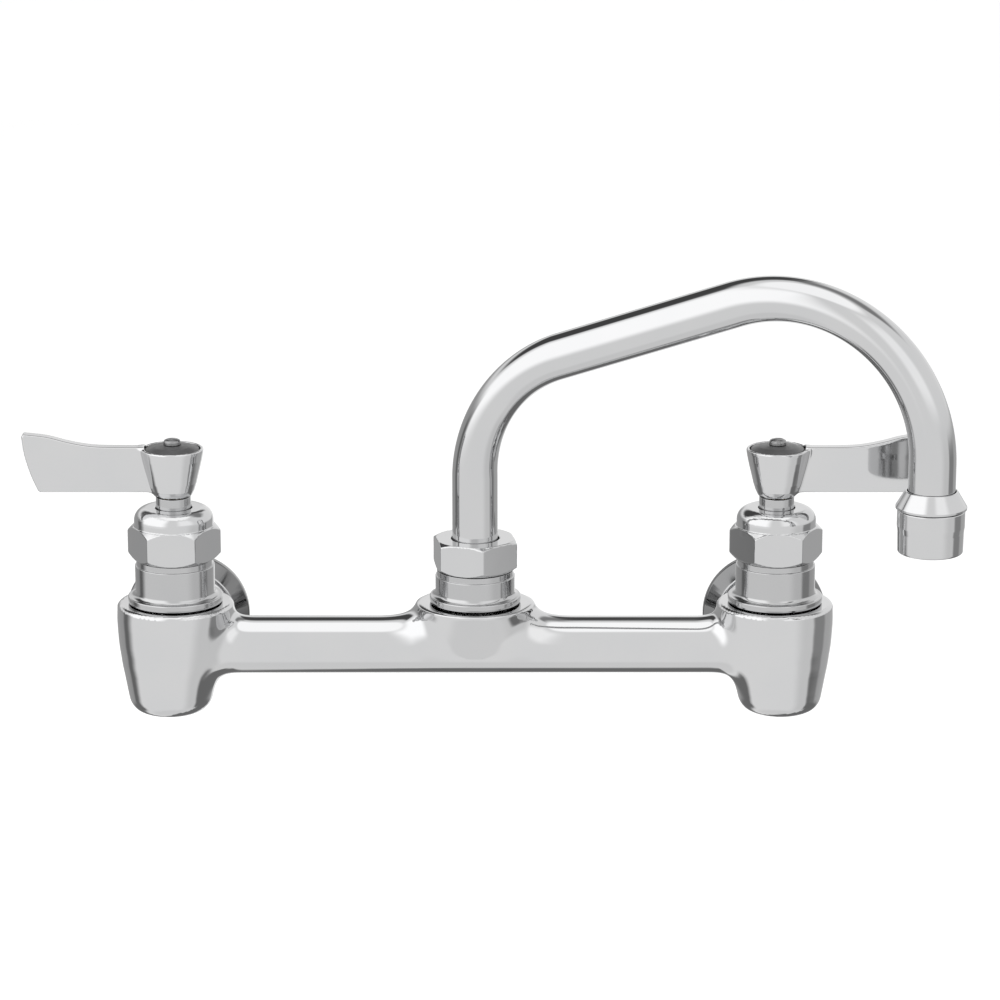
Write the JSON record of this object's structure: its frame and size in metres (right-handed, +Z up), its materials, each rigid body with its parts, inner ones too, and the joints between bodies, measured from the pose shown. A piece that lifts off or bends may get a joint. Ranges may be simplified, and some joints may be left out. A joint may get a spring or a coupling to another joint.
{
  "type": "commercial wall faucet",
  "caption": "Wall-mounted commercial mixing faucet with lever valves on a straight bar and a swing spout with aerator.",
  "frame": {"origin": "on the wall, midway between the two supply inlets, at the height of their axes", "axes": "+X from the left valve to the right valve as the user sees them, +Y into the wall, +Z up; the user stands at -Y"},
  "size_m": [0.3111, 0.1173, 0.1609],
  "materials": {
    "cast_chrome": "polished chrome plate on cast brass",
    "chrome": "polished chrome plate on turned brass",
    "tube_chrome": "polished chrome plate on bent brass tube",
    "brass": "turned, unplated",
    "steel": "plain stainless screw",
    "rubber": "black nitrile",
    "ceramic": "lapped alumina",
    "plastic": "moulded acetal",
    "dark_plastic": "dark moulded disc"
  },
  "bodies": {
    "faucet_body": {"body_casting": "cast_chrome", "spout_collar": "chrome", "spout_nut": "chrome", "left_wall_flange": "chrome", "left_union_nut": "chrome", "left_union_washer": "rubber", "left_valve_collar": "chrome", "left_bonnet_nut": "chrome", "left_cartridge_body": "brass", "left_fixed_disc": "ceramic", "left_seat_gasket": "rubber", "right_wall_flange": "chrome", "right_union_nut": "chrome", "right_union_washer": "rubber", "right_valve_collar": "chrome", "right_bonnet_nut": "chrome", "right_cartridge_body": "brass", "right_fixed_disc": "ceramic", "right_seat_gasket": "rubber"},
    "spout": {"spout_tube": "tube_chrome", "spout_ferrule": "brass", "spout_lower_o_ring": "rubber", "spout_upper_o_ring": "rubber", "spout_slip_washer": "plastic", "aerator_adapter": "chrome", "aerator_shell": "chrome", "aerator_insert": "plastic", "aerator_gasket": "rubber"},
    "left_handle": {"left_lever_handle": "cast_chrome", "left_index_disc": "dark_plastic", "left_handle_screw": "steel", "left_spindle": "brass", "left_spindle_o_ring": "rubber", "left_turning_disc": "ceramic"},
    "right_handle": {"right_lever_handle": "cast_chrome", "right_index_disc": "dark_plastic", "right_handle_screw": "steel", "right_spindle": "brass", "right_spindle_o_ring": "rubber", "right_turning_disc": "ceramic"}
  },
  "joints": [
    {"name": "spout_swing", "type": "hinge", "parent": "faucet_body", "child": "spout", "pos_m": [0, -0.052, 0.004], "axis": [0, 0, 1], "range_deg": [-140, 0]},
    {"name": "left_handle_turn", "type": "hinge", "parent": "faucet_body", "child": "left_handle", "pos_m": [-0.1016, -0.052, 0.004], "axis": [0, 0, 1], "range_deg": [0, 90]},
    {"name": "right_handle_turn", "type": "hinge", "parent": "faucet_body", "child": "right_handle", "pos_m": [0.1016, -0.052, 0.004], "axis": [0, 0, 1], "range_deg": [-90, 0]}
  ]
}
